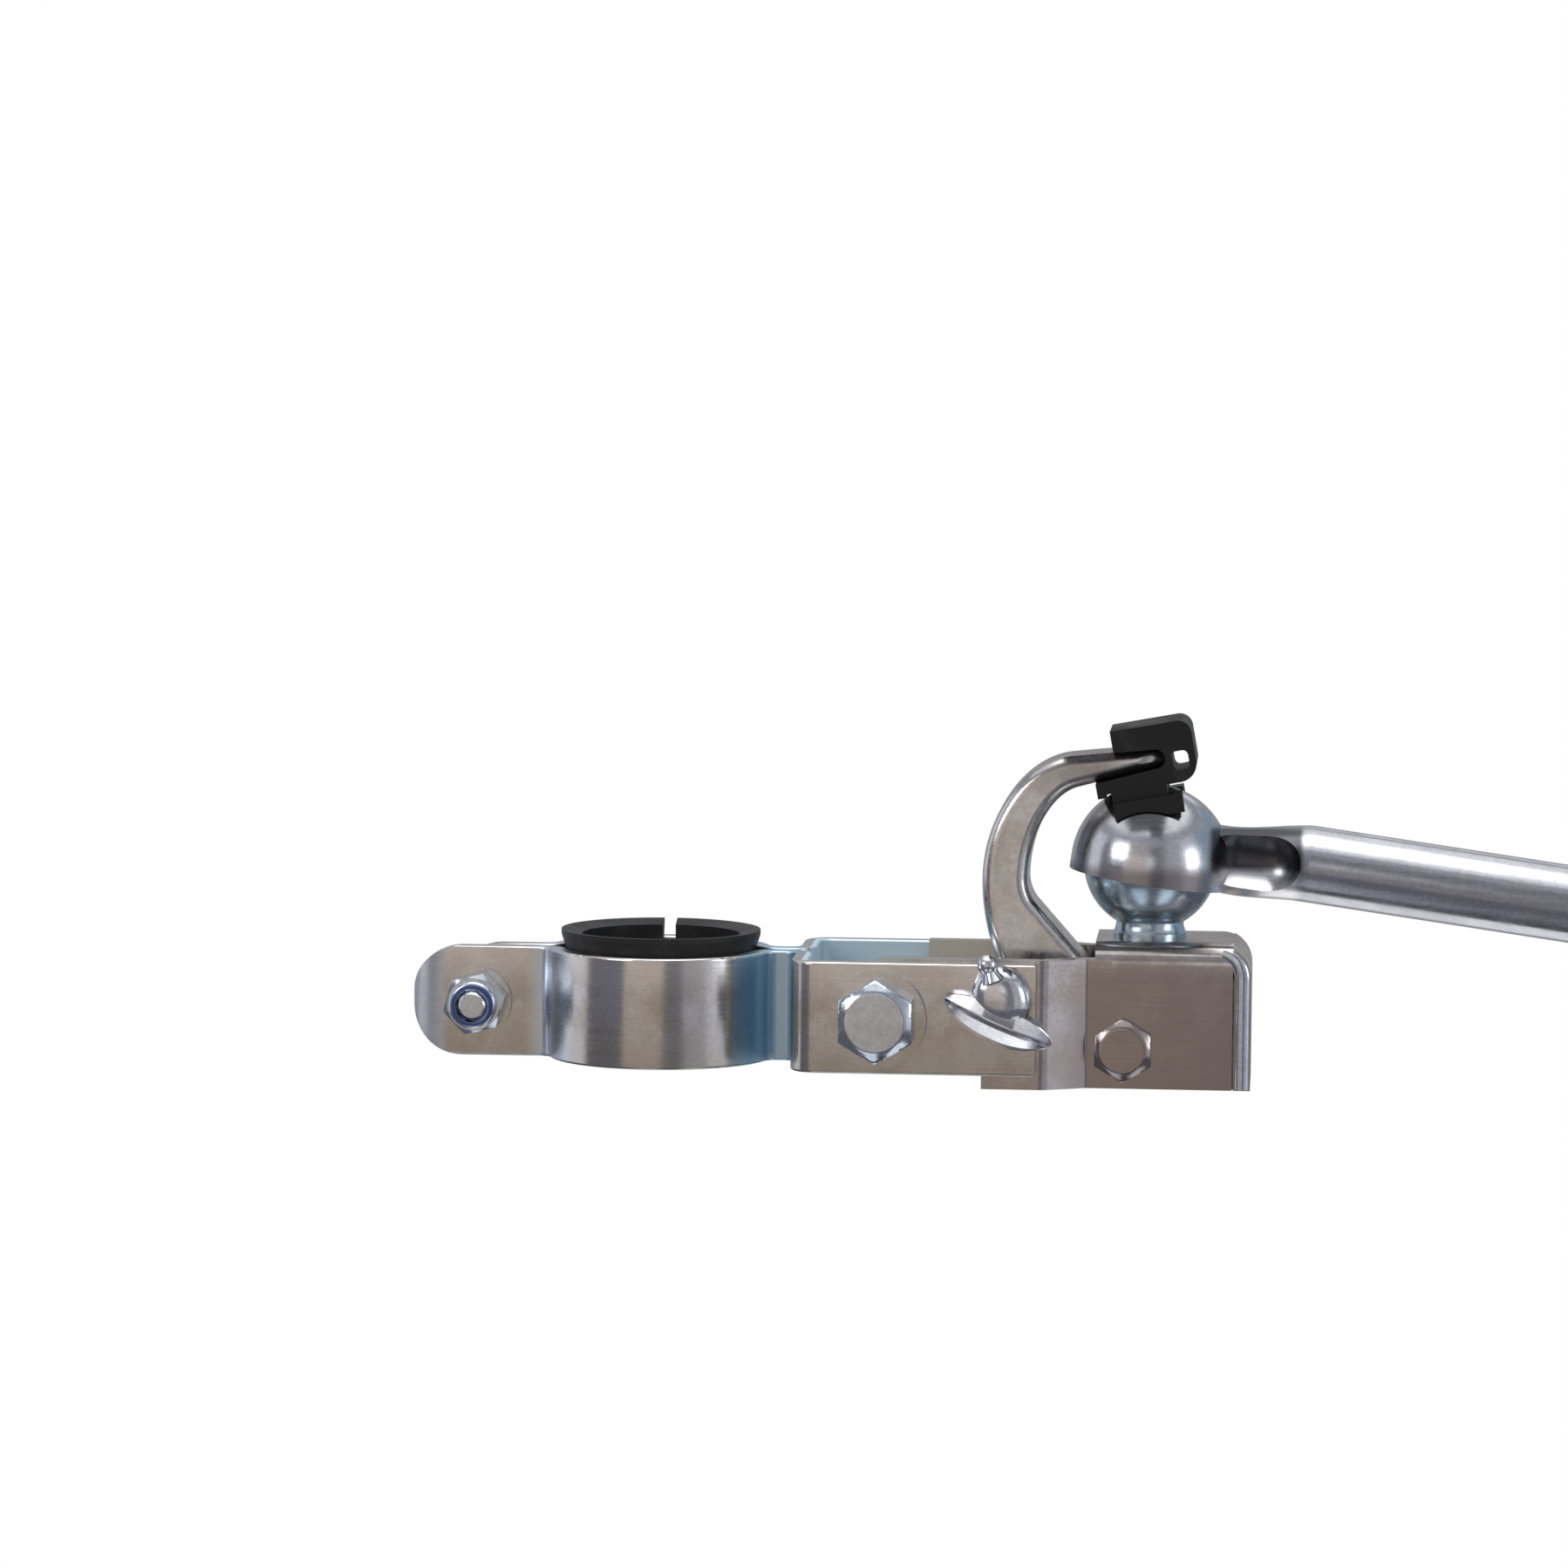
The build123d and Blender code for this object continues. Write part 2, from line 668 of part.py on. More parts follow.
def wing_screw():
    """Screw with a domed hub, a bowed finger bar on one side and a lug on the other."""
    seat_y = -fork_face - wing_seat_gap
    tip_y = -arm_half - wing_tip_gap
    length = tip_y - seat_y
    lug_z = wing_hub_height / 2
    hub = extrude(Circle(wing_hub_r), wing_hub_height)
    hub = fillet(hub.edges().group_by(Axis.Z)[-1], wing_hub_height / 2)
    bar = extrude(wing_bar(), wing_depth)
    bar = fillet(bar.edges().group_by(Axis.Z)[-1], wing_thick / 4)
    bar = Rot(Z=wing_tilt_deg) * Pos(0, -wing_offset, (wing_hub_height - wing_depth) / 2) * bar
    lug = Pos(0, wing_lug_reach, lug_z) * Sphere(wing_lug_r)
    lug += Pos(0, wing_lug_reach / 2, lug_z) * Rot(X=90) * Cylinder(wing_lug_r, wing_lug_reach)
    shank = Pos(0, 0, wing_point - length) * extrude(Circle(wing_screw_r), length - wing_point)
    point = Pos(0, 0, -length) * extrude(Circle(wing_point_r), wing_point)
    return along_y(hub + bar + lug + shank + point, wing_x, seat_y, wing_axis_z, -1)


def drawbar_neck():
    """Solid neck between the cup and the tube, pinched on both sides."""
    stations = [
        (neck_root, neck_root_wide, neck_root_half, -neck_root_drop),
        (neck_waist, tube_r - neck_waist_narrower, neck_waist_half, -neck_waist_drop),
        ((neck_waist + neck_end) / 2, tube_r, (neck_waist_half + tube_r) / 2, -neck_waist_drop / 2),
        (neck_end, tube_r, tube_r, 0),
    ]
    sections = [Plane.YZ.offset(x) * Pos(0, up) * Ellipse(wide, tall) for x, wide, tall, up in stations]
    neck = loft(sections)
    slope = sqrt(0.5) * dent_r
    outline = [
        ThreePointArc((dent_from - dent_r, 0), (dent_from - slope, slope), (dent_from, dent_r)),
        Line((dent_from, dent_r), (dent_to, dent_r)),
        ThreePointArc((dent_to, dent_r), (dent_to + slope, slope), (dent_to + dent_r, 0)),
        Line((dent_to + dent_r, 0), (dent_from - dent_r, 0)),
    ]
    side = tube_r + dent_outside
    dent = Pos(0, -side, -dent_drop) * revolve(make_face(outline), Axis.X)
    return neck - [dent, mirror(dent, Plane.XZ)]


def drawbar():
    """Socket cup, neck and tube in one, level first and then pitched about the ball."""
    inner_r = ball_r + cup_gap
    rim = Plane.XY.offset(-cup_rim_drop)
    dome = Sphere(dome_r) + extrude(rim * Circle(dome_r), cup_rim_drop)
    dome = split(dome, rim, keep=Keep.TOP)
    hollow = Sphere(inner_r) + extrude(rim * Circle(inner_r), cup_rim_drop)
    tube = extrude(Plane.YZ.offset(neck_end) * Circle(tube_r), tube_end - neck_end)
    bar = Pos(0, 0, tube_above_ball) * (drawbar_neck() + tube)
    bore_from = neck_end + tube_wall
    bore = extrude(Plane.YZ.offset(bore_from) * Circle(tube_r - tube_wall), tube_end - bore_from)
    body = dome + bar - hollow - Pos(0, 0, tube_above_ball) * bore
    return Pos(ball_x, 0, ball_z) * Rot(Y=drawbar_pitch_deg) * body


nodes = {
    "clamp_front_half": clamp_front_half(),
    "clamp_rear_half": clamp_rear_half(),
    "reducer_sleeve": reducer_sleeve(),
    "clamp_bolt": clamp_bolt(),
    "clamp_nut": clamp_nut(),
    "clamp_washers": clamp_washers(),
    "fork_bolt": fork_bolt(),
    "fork_bolt_nut": fork_bolt_nut(),
    "fork_bolt_washers": fork_bolt_washers(),
    "fork_spacer": fork_spacer(),
    "ball_bracket": ball_bracket(),
    "weld_nut": weld_nut(),
    "ball_stud": ball_stud(),
    "ball_stud_washer": ball_stud_washer(),
    "ball_stud_nut": ball_stud_nut(),
    "arm_pivot_bolt": arm_pivot_bolt(),
    "arm_pivot_washer": arm_pivot_washer(),
    "arm_pivot_nut": arm_pivot_nut(),
    "arm_spacers": arm_spacers(),
    "hold_down_arm": hold_down_arm(),
    "arm_shoe": arm_shoe(),
    "wing_screw": wing_screw(),
    "drawbar": drawbar(),
}

os.makedirs("parts", exist_ok=True)
for name, solid in nodes.items():
    export_step(solid, f"parts/{name}.step")
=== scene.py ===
import json
from math import cos, radians, sin, tan

import bpy
from mathutils import Matrix, Vector


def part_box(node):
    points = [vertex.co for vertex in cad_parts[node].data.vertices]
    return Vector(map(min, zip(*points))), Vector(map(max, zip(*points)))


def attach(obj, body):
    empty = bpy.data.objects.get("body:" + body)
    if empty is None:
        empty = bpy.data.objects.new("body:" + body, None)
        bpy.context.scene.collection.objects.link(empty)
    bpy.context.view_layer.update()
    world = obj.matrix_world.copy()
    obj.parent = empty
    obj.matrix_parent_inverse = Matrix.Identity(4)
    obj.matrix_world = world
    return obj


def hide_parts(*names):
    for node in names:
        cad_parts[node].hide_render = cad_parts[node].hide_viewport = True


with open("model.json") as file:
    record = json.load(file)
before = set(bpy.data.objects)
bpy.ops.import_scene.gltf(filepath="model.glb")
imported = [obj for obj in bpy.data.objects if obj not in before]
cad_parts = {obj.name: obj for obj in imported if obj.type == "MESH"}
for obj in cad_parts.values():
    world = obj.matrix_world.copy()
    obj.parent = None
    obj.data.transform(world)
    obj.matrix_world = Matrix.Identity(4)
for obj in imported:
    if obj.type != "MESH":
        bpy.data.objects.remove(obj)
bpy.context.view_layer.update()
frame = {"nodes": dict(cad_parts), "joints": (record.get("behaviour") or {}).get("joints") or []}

# Clamp halves: two lengths of 3 mm steel strip, each folded to an ear, half a ring and a fork arm.
# They are plated with zinc after folding. The flats keep faint rolling lines along the strip,
# and the passivated plating is cloudy, from cool grey to a brownish bloom.


def feed(tree, socket, value):
    """Links a socket to another one, or sets its value."""
    if isinstance(value, bpy.types.NodeSocket):
        tree.links.new(value, socket)
    else:
        socket.default_value = value


def put(tree, kind, inputs=None, **settings):
    """Adds a shader node to a tree, sets its properties and feeds its inputs."""
    node = tree.nodes.new("ShaderNode" + kind)
    for name, value in settings.items():
        setattr(node, name, value)
    for name, value in (inputs or {}).items():
        feed(tree, node.inputs[name], value)
    return node


def times(tree, first, second):
    """Product of two values."""
    return put(tree, "Math", {0: first, 1: second}, operation="MULTIPLY").outputs[0]


def plus(tree, first, second):
    """Sum of two values."""
    return put(tree, "Math", {0: first, 1: second}, operation="ADD").outputs[0]


def ramp(tree, value, low, high, to_low=0.0, to_high=1.0):
    """A value taken smoothly from one range to another."""
    inputs = {"Value": value, "From Min": low, "From Max": high, "To Min": to_low, "To Max": to_high}
    return put(tree, "MapRange", inputs, interpolation_type="SMOOTHSTEP").outputs["Result"]


def mix_colour(tree, share, first, second, how="MIX"):
    """Two colours mixed by a share, through the colour sockets of a mix node."""
    inputs = {0: share, 6: first, 7: second}
    return put(tree, "Mix", inputs, data_type="RGBA", blend_type=how).outputs[2]


def place_on_piece(tree):
    """Place on the piece, in metres from the origin of the hitch."""
    return put(tree, "TexCoord").outputs["Object"]


def noise(tree, place, scale, detail, roughness=0.5):
    """Cloudy noise over a piece, from 0 to 1."""
    inputs = {"Vector": place, "Scale": scale, "Detail": detail, "Roughness": roughness}
    return put(tree, "TexNoise", inputs).outputs["Fac"]


def start_group(name, inputs, outputs):
    """An empty shader node group with named sockets, and its two end nodes."""
    group = bpy.data.node_groups.new(name, "ShaderNodeTree")
    for label, kind, value in inputs:
        socket = group.interface.new_socket(label, in_out="INPUT", socket_type="NodeSocket" + kind)
        socket.default_value = value
    for label, kind in outputs:
        group.interface.new_socket(label, in_out="OUTPUT", socket_type="NodeSocket" + kind)
    return group, group.nodes.new("NodeGroupInput"), group.nodes.new("NodeGroupOutput")


def place_group(tree, group, **values):
    """Puts a node group into a material with its own values."""
    return put(tree, "Group", values, node_tree=group)


def make_plating_bloom():
    """Cloudy zinc: a colour between clean metal and bloom, its roughness and a fine grain."""
    group, given, made = start_group(
        "plating bloom",
        inputs=[
            ("Clean", "Color", (0.6, 0.6, 0.6, 1)),
            ("Bloom", "Color", (0.5, 0.47, 0.42, 1)),
            ("Cloud", "Float", 90.0),
            ("Dullness", "Float", 0.25),
        ],
        outputs=[("Color", "Color"), ("Roughness", "Float"), ("Height", "Float")],
    )
    speck_scale = 1400.0
    grain_scale = 5200.0
    uneven_gloss = 0.06
    place = place_on_piece(group)
    cloud = noise(group, place, given.outputs["Cloud"], detail=5.0, roughness=0.62)
    speck = noise(group, place, speck_scale, detail=3.0, roughness=0.7)
    grain = noise(group, place, grain_scale, detail=2.0)
    patch = ramp(group, cloud, low=0.36, high=0.64)
    fleck = ramp(group, speck, low=0.3, high=0.7, to_low=0.93, to_high=1.05)
    tone = mix_colour(group, patch, given.outputs["Clean"], given.outputs["Bloom"])
    grey = put(group, "CombineColor", {"Red": fleck, "Green": fleck, "Blue": fleck}).outputs[0]
    flecked = mix_colour(group, 1.0, tone, grey, "MULTIPLY")
    duller = plus(group, times(group, patch, uneven_gloss), times(group, speck, uneven_gloss))
    feed(group, made.inputs["Color"], flecked)
    feed(group, made.inputs["Roughness"], plus(group, given.outputs["Dullness"], duller))
    feed(group, made.inputs["Height"], grain)
    return group


def make_drawn_lines():
    """Fine parallel lines left by rolling, drawing or turning, long in one direction."""
    group, given, made = start_group(
        "drawn lines",
        inputs=[("Stretch", "Vector", (30.0, 2500.0, 2500.0))],
        outputs=[("Lines", "Float")],
    )
    stretching = {0: place_on_piece(group), 1: given.outputs["Stretch"]}
    drawn = put(group, "VectorMath", stretching, operation="MULTIPLY").outputs[0]
    lines = noise(group, drawn, scale=1.0, detail=4.0, roughness=0.6)
    feed(group, made.inputs["Lines"], ramp(group, lines, low=0.3, high=0.7))
    return group


def make_shading_mask(name, soft, **ranges):
    """Mask of a place on a piece where light or shade is painted, between two ends in metres along each
    axis that is given.
    """
    group, _, made = start_group(name, inputs=[], outputs=[("Mask", "Float")])
    along = put(group, "SeparateXYZ", {"Vector": place_on_piece(group)}).outputs
    mask = 1.0
    for axis, (low, high) in ranges.items():
        past_low = ramp(group, along[axis], low - soft, low + soft)
        before_high = ramp(group, along[axis], high + soft, high - soft)
        mask = times(group, mask, times(group, past_low, before_high))
    feed(group, made.inputs["Mask"], mask)
    return group


def start_material(name):
    """A new material, its node tree and its main shader."""
    material = bpy.data.materials.new(name)
    material.use_nodes = True
    tree = material.node_tree
    return material, tree, tree.nodes["Principled BSDF"]


plating_bloom = make_plating_bloom()
drawn_lines = make_drawn_lines()


def zinc(name, clean, bloom, cloud, dullness, stretch, lines_show, bump, painted_shading=()):
    """Zinc plating: bloom in colour and gloss, drawn lines in the relief, and painted light and shade as
    tints in given places.
    """
    material, tree, surface = start_material(name)
    surface.inputs["Metallic"].default_value = 1.0
    lines_dull = 0.3
    grain_share = 0.3
    relief_depth = 0.00004
    coat = place_group(
        tree, plating_bloom, Clean=(*clean, 1), Bloom=(*bloom, 1), Cloud=cloud, Dullness=dullness
    )
    lines = place_group(tree, drawn_lines, Stretch=stretch)
    lined = times(tree, lines.outputs["Lines"], lines_show)
    colour = coat.outputs["Color"]
    gloss = plus(tree, coat.outputs["Roughness"], times(tree, lined, lines_dull))
    # Each tint paints light or shade into the colour where its mask lies.
    for shading_tint in painted_shading:
        mask = place_group(tree, shading_tint["mask"]).outputs["Mask"]
        colour = mix_colour(tree, times(tree, mask, shading_tint["share"]), colour, (*shading_tint["tint"], 1))
        gloss = plus(tree, gloss, times(tree, mask, shading_tint["dulled"]))
    relief = plus(tree, times(tree, coat.outputs["Height"], grain_share), lined)
    bumped = put(tree, "Bump", {"Height": relief, "Strength": bump, "Distance": relief_depth})
    feed(tree, surface.inputs["Base Color"], colour)
    feed(tree, surface.inputs["Roughness"], gloss)
    feed(tree, surface.inputs["Normal"], bumped.outputs["Normal"])
    return material


def finish_node(material, *names):
    """Gives CAD nodes a material."""
    for name in names:
        frame["nodes"][name].data.materials.clear()
        frame["nodes"][name].data.materials.append(material)


def break_edges(name, width_mm, sharp_deg):
    """Rounds the sharp edges of a CAD node a little, without touching its mesh."""
    node = frame["nodes"][name]
    joined = node.modifiers.new("join", "WELD")
    joined.merge_threshold = 0.000001
    edge = node.modifiers.new("edge break", "BEVEL")
    edge.width = width_mm / 1000
    edge.segments = 3
    edge.limit_method = "ANGLE"
    edge.angle_limit = radians(sharp_deg)
    level = node.modifiers.new("flat shading", "WEIGHTED_NORMAL")
    level.mode = "FACE_AREA"
    level.keep_sharp = False


# Painted shade makes the plating browner towards the lower edge and greyer on the curl of the ear, and
# painted light makes it paler towards the upper one. Painted bluish reflections, with duller gloss, lie
# in the pockets beside the ring and between the fork arms.
low_side_shade = make_shading_mask("low side shade", 0.0060, Z=(-0.0300, -0.0035))
high_side_light = make_shading_mask("high side light", 0.0040, Z=(0.0055, 0.0300))
# Painted reflections: bluish, lighter tints in the pockets beside the ring and between the fork arms.
neck_pocket_reflection = make_shading_mask("neck pocket reflection", 0.0018, X=(0.0155, 0.0262), Y=(-0.0165, 0.0165))
ear_pocket_reflection = make_shading_mask("ear pocket reflection", 0.0020, X=(-0.0230, -0.0150), Y=(-0.0140, 0.0140))
# Painted shade: the curl of the ear is greyer.
ear_curl_shade = make_shading_mask("ear curl shade", 0.0010, X=(-0.0480, -0.0390))
fork_inside_reflection = make_shading_mask("fork inside reflection", 0.0003, X=(0.0270, 0.0700), Y=(-0.0172, 0.0172))
strip_zinc = zinc(
    "strip zinc",
    clean=(0.64, 0.64, 0.66),
    bloom=(0.49, 0.465, 0.42),
    cloud=100.0,
    dullness=0.08,
    stretch=(40.0, 40.0, 3000.0),
    lines_show=0.3,
    bump=0.20,
    # Painted light and shade on the strip, with the gloss dulled in places.
    painted_shading=(
        dict(mask=low_side_shade, tint=(0.45, 0.425, 0.36), share=0.55, dulled=0.02),
        dict(mask=high_side_light, tint=(0.80, 0.79, 0.78), share=0.55, dulled=0.0),
        dict(mask=neck_pocket_reflection, tint=(0.46, 0.62, 0.74), share=1.0, dulled=0.16),
        dict(mask=ear_pocket_reflection, tint=(0.64, 0.68, 0.76), share=1.0, dulled=0.12),
        dict(mask=ear_curl_shade, tint=(0.60, 0.61, 0.65), share=0.8, dulled=0.24),
        dict(mask=fork_inside_reflection, tint=(0.64, 0.81, 0.88), share=1.0, dulled=0.45),
    ),
)
for half in ("clamp_front_half", "clamp_rear_half"):
    finish_node(strip_zinc, half)
    break_edges(half, width_mm=0.5, sharp_deg=50)

# Reducer sleeve: split sleeve of black moulded plastic that lines the ring of the clamp.
# The strip grips through it. Its thin flared flange stands just above the strip and keeps it
# from sliding through.


def make_moulded_grain():
    """Moulded plastic: fine grain in the relief, a slight change of gloss and a trace of dust."""
    group, given, made = start_group(
        "moulded grain",
        inputs=[("Grain", "Float", 2600.0), ("Dullness", "Float", 0.4)],
        outputs=[("Roughness", "Float"), ("Height", "Float"), ("Dust", "Float")],
    )
    cloud_scale = 140.0
    uneven_gloss = 0.15
    place = place_on_piece(group)
    grain = noise(group, place, given.outputs["Grain"], detail=3.0)
    cloud = noise(group, place, cloud_scale, detail=4.0, roughness=0.65)
    duller = times(group, ramp(group, cloud, low=0.35, high=0.65), uneven_gloss)
    feed(group, made.inputs["Roughness"], plus(group, given.outputs["Dullness"], duller))
    feed(group, made.inputs["Height"], grain)
    feed(group, made.inputs["Dust"], ramp(group, cloud, low=0.5, high=0.75))
    return group


moulded_grain = make_moulded_grain()


def plastic(name, colour, dusty, grain, dullness, shine=0.5, relief=0.0):
    """Moulded plastic with a trace of dust in its colour, smooth or with a grain in its relief."""
    material, tree, surface = start_material(name)
    surface.inputs["Specular IOR Level"].default_value = shine
    relief_depth = 0.00006
    skin = place_group(tree, moulded_grain, Grain=grain, Dullness=dullness)
    dusted = mix_colour(tree, skin.outputs["Dust"], (*colour, 1), (*dusty, 1))
    feed(tree, surface.inputs["Base Color"], dusted)
    feed(tree, surface.inputs["Roughness"], skin.outputs["Roughness"])
    if relief > 0:
        bump = {"Height": skin.outputs["Height"], "Strength": relief, "Distance": relief_depth}
        feed(tree, surface.inputs["Normal"], put(tree, "Bump", bump).outputs["Normal"])
    return material


sleeve_plastic = plastic(
    "sleeve plastic",
    colour=(0.012, 0.012, 0.013),
    dusty=(0.024, 0.023, 0.022),
    grain=2600.0,
    dullness=0.38,
    shine=0.28,
    relief=0.35,
)
finish_node(sleeve_plastic, "reducer_sleeve")

# Clamp bolt, nut and washers: M6 hexagon bolt through the two ears, with a lock nut on the near side.
# Steel with bright bluish zinc on forged heads and rolled threads. The washers have the strip's plating,
# and a blue nylon ring in the collar of the nut grips the thread.

columns = 72  # points round a turned piece
corner_step = 60  # degrees from one corner of a hexagon to the next
rings_per_turn = 8
thread_depth = 0.6  # share of the pitch
thread_steepness = 2.6
thread_crest = 0.15


def hexagon(flats, corner_deg):
    """Radius of a hexagon by angle in degrees, with a corner at one angle."""
    return lambda angle: flats / 2 / cos(radians((angle - corner_deg) % corner_step - corner_step / 2))


def round_to(radius):
    """The same radius all round."""
    return lambda angle: radius


def round_rings(profile):
    """Round rings from a list of places along the axis and radii."""
    return [(along, round_to(radius)) for along, radius in profile]


def lowest(first, second):
    """The smaller of two radii at each angle."""
    return lambda angle: min(first(angle), second(angle))


def thread(radius, pitch, along):
    """Radius of a rolled thread by angle in degrees, at one place along it."""

    def flank(angle):
        phase = (along / pitch + angle / 360) % 1
        sunk = abs(phase - 0.5) * thread_steepness - thread_crest
        return radius - thread_depth * pitch * min(1.0, max(0.0, sunk))

    return flank


def thread_rings(radius, pitch, start, end):
    """Rings of a thread from one place along the axis to another."""
    count = max(1, round((start - end) / pitch * rings_per_turn))
    places = [start + (end - start) * k / count for k in range(count + 1)]
    return [(along, thread(radius, pitch, along)) for along in places]


def bolt_rings(flats, head, radius, length, corner_deg, threaded, pitch):
    """Rings of a hexagon bolt, from the face of its head to the end of its thread."""
    face_share = 0.83
    face_inset = 0.3
    face_drop = 0.05
    chamfer_slope = tan(radians(30))
    chamfer_steps = (0.12, 0.25, 0.4, 0.55, 0.7, 0.85, 1.0)
    edge_break = 0.12
    corner_break = 0.15
    run_out = 0.3
    point = 0.7
    point_edge = 0.25
    shoulder_r = 0.82 * radius
    end_r = 0.72 * radius
    cap_r = 0.2
    sides = hexagon(flats, corner_deg)
    corner = sides(corner_deg)
    face = face_share * flats / 2
    chamfer = corner - face
    rings = round_rings([(head, face - face_inset), (head, face - edge_break), (head - face_drop, face)])
    for share in chamfer_steps:
        cone = round_to(face + chamfer * share)
        rings.append((head - chamfer * chamfer_slope * share, lowest(sides, cone)))
    rings += [(edge_break, sides), (0.0, lowest(sides, round_to(corner - corner_break)))]
    rings += round_rings([(0.0, radius), (threaded - length + run_out, radius)])
    rings += thread_rings(radius, pitch, threaded - length, point - length)
    return rings + round_rings([(point_edge - length, shoulder_r), (-length, end_r), (-length, cap_r)])


def facing(x, y, z, way):
    """Places a point given by right, up and out on a side of the hitch, in millimetres."""
    return lambda right, up, out: ((x - way * right) / 1000, (y + way * out) / 1000, (z + up) / 1000)


def turned(rings, place, hollow=False):
    """Closed skin over rings from the outer end inwards, capped at both ends or closed round a hole."""
    verts = []
    faces = []
    for along, radius in rings:
        for k in range(columns):
            angle = 360 * k / columns
            reach = radius(angle)
            verts.append(place(reach * cos(radians(angle)), reach * sin(radians(angle)), along))
    for ring in range(len(rings) if hollow else len(rings) - 1):
        high = ring * columns
        low = (ring + 1) % len(rings) * columns
        for k in range(columns):
            after = (k + 1) % columns
            faces.append((high + k, low + k, low + after, high + after))
    if not hollow:
        last = (len(rings) - 1) * columns
        faces.append(tuple(range(columns)))
        faces.append(tuple(last + k for k in reversed(range(columns))))
    return verts, faces


def new_piece(name, verts, faces, material, body, sharp_deg):
    """Mesh piece with smooth faces and sharp edges above an angle, riding on a body."""
    mesh = bpy.data.meshes.new(name)
    mesh.from_pydata(verts, [], faces)
    mesh.validate()
    mesh.polygons.foreach_set("use_smooth", [True] * len(mesh.polygons))
    mesh.set_sharp_from_angle(angle=radians(sharp_deg))
    mesh.materials.append(material)
    piece = bpy.data.objects.new(name, mesh)
    bpy.context.scene.collection.objects.link(piece)
    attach(piece, body)
    return piece


def box_mm(node):
    """Lowest corner, middle and highest corner of a CAD node, in millimetres."""
    low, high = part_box(node)
    return low * 1000, (low + high) * 500, high * 1000


def threaded_bolt(name, node, material, way, flats, head, radius, corner_deg, threaded, pitch):
    """Hexagon bolt with a rolled thread, where a CAD bolt lies, with its head to one side."""
    low, middle, high = box_mm(node)
    seat = high.y - head if way > 0 else low.y + head
    length = high.y - low.y - head
    rings = bolt_rings(flats, head, radius, length, corner_deg, threaded, pitch)
    verts, faces = turned(rings, facing(middle.x, seat, middle.z, way))
    return new_piece(name, verts, faces, material, "bracket", sharp_deg=28)


fastener_zinc = zinc(
    "fastener zinc",
    clean=(0.67, 0.74, 0.83),
    bloom=(0.58, 0.62, 0.68),
    cloud=260.0,
    dullness=0.07,
    stretch=(900.0, 900.0, 900.0),
    lines_show=0.15,
    bump=0.12,
)
clamp_bolt = threaded_bolt(
    "clamp_bolt_threaded",
    "clamp_bolt",
    fastener_zinc,
    way=1,
    flats=10.0,
    head=4.0,
    radius=3.0,
    corner_deg=0,
    threaded=12.0,
    pitch=1.0,
)
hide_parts("clamp_bolt")
finish_node(fastener_zinc, "clamp_nut")
finish_node(strip_zinc, "clamp_washers")

nylon = plastic(
    "blue nylon",
    colour=(0.012, 0.035, 0.16),
    dusty=(0.0472, 0.061, 0.136),
    grain=3000.0,
    dullness=0.28,
)
ring_bore = 3.12
ring_profile = [(0.30, ring_bore), (0.42, 3.35), (0.36, 3.6), (0.0, 3.8), (0.0, ring_bore)]
nut_low, nut_middle, _ = box_mm("clamp_nut")
ring_place = facing(nut_middle.x, nut_low.y, nut_middle.z, -1)
ring_verts, ring_faces = turned(round_rings(ring_profile), ring_place, hollow=True)
new_piece("lock_nut_ring", ring_verts, ring_faces, nylon, "bracket", sharp_deg=40)

# Fork bolt, nut, washers and spacer: M8 hexagon bolt of zinc-plated steel.
# It ties the fork arms and the tongues of the bracket together, and the spacer tube inside keeps
# the cheeks apart. The washers have the strip's duller plating.

fork_bolt = threaded_bolt(
    "fork_bolt_threaded",
    "fork_bolt",
    fastener_zinc,
    way=-1,
    flats=13.0,
    head=5.3,
    radius=4.0,
    corner_deg=90,
    threaded=22.0,
    pitch=1.25,
)
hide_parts("fork_bolt")
finish_node(fastener_zinc, "fork_bolt_nut", "fork_spacer")
finish_node(strip_zinc, "fork_bolt_washers")

# Ball bracket: one 3 mm steel sheet folded into two joggled cheeks, a top plate and an end flange.
# Plated after folding, with a browner bloom than the strip, painted light between the tongues and
# painted shade on the sides of the box and towards the lower edge. The cut edges of the flange are
# rounded, and their brighter plating is partly a painted highlight. A thin dark insert where the flange
# meets each cheek is painted shade in the seam.

# Painted light between the tongues and painted shade on the sides of the box.
tongue_inside_light = make_shading_mask("tongue inside light", 0.0002, X=(0.0280, 0.0660), Y=(-0.0142, 0.0142))
box_sides_shade = make_shading_mask("box sides shade", 0.0024, X=(0.0750, 0.1060), Z=(-0.0300, 0.0090))
sheet_zinc = zinc(
    "sheet zinc",
    clean=(0.58, 0.56, 0.56),
    bloom=(0.45, 0.41, 0.39),
    cloud=110.0,
    dullness=0.09,
    stretch=(60.0, 60.0, 2400.0),
    lines_show=0.3,
    bump=0.20,
    painted_shading=(
        dict(mask=low_side_shade, tint=(0.47, 0.42, 0.41), share=0.4, dulled=0.0),
        dict(mask=tongue_inside_light, tint=(0.66, 0.63, 0.55), share=1.0, dulled=0.40),
        dict(mask=box_sides_shade, tint=(0.365, 0.315, 0.305), share=0.8, dulled=0.0),
    ),
)
finish_node(sheet_zinc, "ball_bracket")
break_edges("ball_bracket", width_mm=0.4, sharp_deg=50)


def add_skin(verts, faces, sections, place):
    """Adds a closed skin over equal closed sections to a mesh that is being made."""
    base = len(verts)
    size = len(sections[0])
    for section in sections:
        verts.extend(place(*point) for point in section)
    for k in range(len(sections) - 1):
        here = base + k * size
        for j in range(size):
            after = (j + 1) % size
            faces.append((here + j, here + after, here + size + after, here + size + j))
    last = base + (len(sections) - 1) * size
    faces.append(tuple(base + j for j in reversed(range(size))))
    faces.append(tuple(last + j for j in range(size)))


